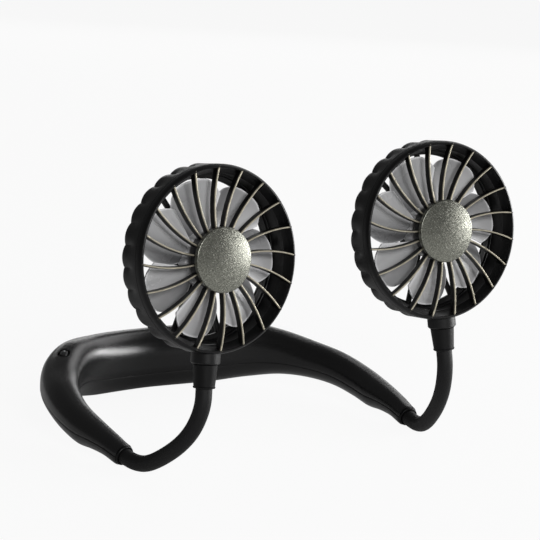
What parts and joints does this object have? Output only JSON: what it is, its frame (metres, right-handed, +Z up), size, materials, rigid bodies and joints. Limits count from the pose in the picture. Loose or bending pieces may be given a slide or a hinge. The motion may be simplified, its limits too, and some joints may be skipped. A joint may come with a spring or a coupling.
{
  "type": "neck fan",
  "caption": "Hands-free neck fan: hollow U-shaped neck band with bendable hose arms carrying caged axial fans that tilt and swivel on collars.",
  "frame": {"origin": "on the table, under the middle of the band's back, on its flat foot", "axes": "+Z up, +Y behind the wearer, +X to the side of the fan that stands higher; the fans blow towards -Y"},
  "size_m": [0.1945, 0.1637, 0.1388],
  "materials": {
    "shell_black": "satin moulded",
    "button_black": "satin",
    "collar_black": "satin",
    "fan_black": "satin moulded",
    "cover_black": "satin moulded",
    "cap_graphite": "fine metallic",
    "impeller_grey": "smooth",
    "hose_black": "matte",
    "core_metal": "drawn",
    "wire_red": "smooth",
    "screw_steel": "plated",
    "socket_steel": "plated",
    "cell_foil": "foil",
    "board_green": "lacquered",
    "switch_black": "moulded",
    "armature_copper": "enamelled wire"
  },
  "bodies": {
    "neckband": {"upper_shell": "shell_black", "lower_shell": "shell_black", "shell_screws": "screw_steel", "left_battery_cell": "cell_foil", "right_battery_cell": "cell_foil", "control_board": "board_green", "tact_switch": "switch_black", "charge_socket": "socket_steel", "band_wiring": "wire_red"},
    "button": {"power_button": "button_black"},
    "left_bush": {"left_end_bush": "collar_black"},
    "left_arm": {"left_hose": "hose_black", "left_core_wire": "core_metal", "left_leads": "wire_red"},
    "left_stem": {"left_stem_sleeve": "collar_black"},
    "left_head": {"left_head_shell": "fan_black", "left_swivel_clip": "screw_steel", "left_rear_grille": "fan_black", "left_motor_can": "screw_steel", "left_motor_base": "switch_black", "left_motor_screws": "screw_steel"},
    "left_cover": {"left_front_cover": "cover_black", "left_cover_cap": "cap_graphite"},
    "left_rotor": {"left_impeller": "impeller_grey", "left_motor_shaft": "screw_steel", "left_motor_armature": "armature_copper"},
    "right_bush": {"right_end_bush": "collar_black"},
    "right_arm": {"right_hose": "hose_black", "right_core_wire": "core_metal", "right_leads": "wire_red"},
    "right_stem": {"right_stem_sleeve": "collar_black"},
    "right_head": {"right_head_shell": "fan_black", "right_swivel_clip": "screw_steel", "right_rear_grille": "fan_black", "right_motor_can": "screw_steel", "right_motor_base": "switch_black", "right_motor_screws": "screw_steel"},
    "right_cover": {"right_front_cover": "cover_black", "right_cover_cap": "cap_graphite"},
    "right_rotor": {"right_impeller": "impeller_grey", "right_motor_shaft": "screw_steel", "right_motor_armature": "armature_copper"}
  },
  "joints": [
    {"name": "power_button_press", "type": "slide", "parent": "neckband", "child": "button", "axis": [0.1049, 0.1245, -0.9867], "range_m": [0, 0.0006], "stiffness_N_per_m": 1500},
    {"name": "left_arm_roll", "type": "hinge", "parent": "neckband", "child": "left_bush", "pos_m": [-0.076, -0.1097, 0.00485], "axis": [0.1225, -0.9666, -0.225], "range_deg": [-8, 35]},
    {"name": "left_arm_raise", "type": "hinge", "parent": "left_bush", "child": "left_arm", "pos_m": [-0.07477, -0.11937, 0.0026], "axis": [-0.9826, -0.1499, 0.1094], "range_deg": [-25, 40], "deforming": ["left_hose", "left_core_wire", "left_leads"]},
    {"name": "left_head_tilt", "type": "hinge", "parent": "left_arm", "child": "left_stem", "pos_m": [-0.06365, -0.15015, 0.03259], "axis": [-0.9953, -0.024, 0.0933], "range_deg": [-40, 30], "deforming": ["left_hose", "left_core_wire", "left_leads"]},
    {"name": "left_head_swivel", "type": "hinge", "parent": "left_stem", "child": "left_head", "pos_m": [-0.06276, -0.1488, 0.04245], "axis": [0.0892, 0.135, 0.9868], "range_deg": [-75, 75]},
    {"name": "left_cover_twist", "type": "hinge", "parent": "left_head", "child": "left_cover", "pos_m": [-0.05758, -0.15299, 0.09662], "axis": [-0.0363, 0.9905, -0.1323], "range_deg": [0, 15]},
    {"name": "left_impeller_spin", "type": "hinge", "parent": "left_head", "child": "left_rotor", "pos_m": [-0.05758, -0.15299, 0.09662], "axis": [-0.0363, 0.9905, -0.1323], "continuous": true},
    {"name": "right_arm_roll", "type": "hinge", "parent": "neckband", "child": "right_bush", "pos_m": [0.076, -0.1097, 0.00485], "axis": [0.1225, 0.9666, 0.225], "range_deg": [-8, 35]},
    {"name": "right_arm_raise", "type": "hinge", "parent": "right_bush", "child": "right_arm", "pos_m": [0.07477, -0.11937, 0.0026], "axis": [-0.9831, 0.1492, -0.1059], "range_deg": [-25, 40], "deforming": ["right_hose", "right_core_wire", "right_leads"]},
    {"name": "right_head_tilt", "type": "hinge", "parent": "right_arm", "child": "right_stem", "pos_m": [0.06341, -0.15031, 0.03698], "axis": [-0.9943, 0.0518, -0.0933], "range_deg": [-40, 30], "deforming": ["right_hose", "right_core_wire", "right_leads"]},
    {"name": "right_head_swivel", "type": "hinge", "parent": "right_stem", "child": "right_head", "pos_m": [0.06256, -0.14893, 0.04685], "axis": [-0.0854, 0.1375, 0.9868], "range_deg": [-75, 75]},
    {"name": "right_cover_twist", "type": "hinge", "parent": "right_head", "child": "right_cover", "pos_m": [0.05726, -0.15297, 0.10102], "axis": [0.064, 0.9891, -0.1323], "range_deg": [0, 15]},
    {"name": "right_impeller_spin", "type": "hinge", "parent": "right_head", "child": "right_rotor", "pos_m": [0.05726, -0.15297, 0.10102], "axis": [0.064, 0.9891, -0.1323], "continuous": true}
  ]
}
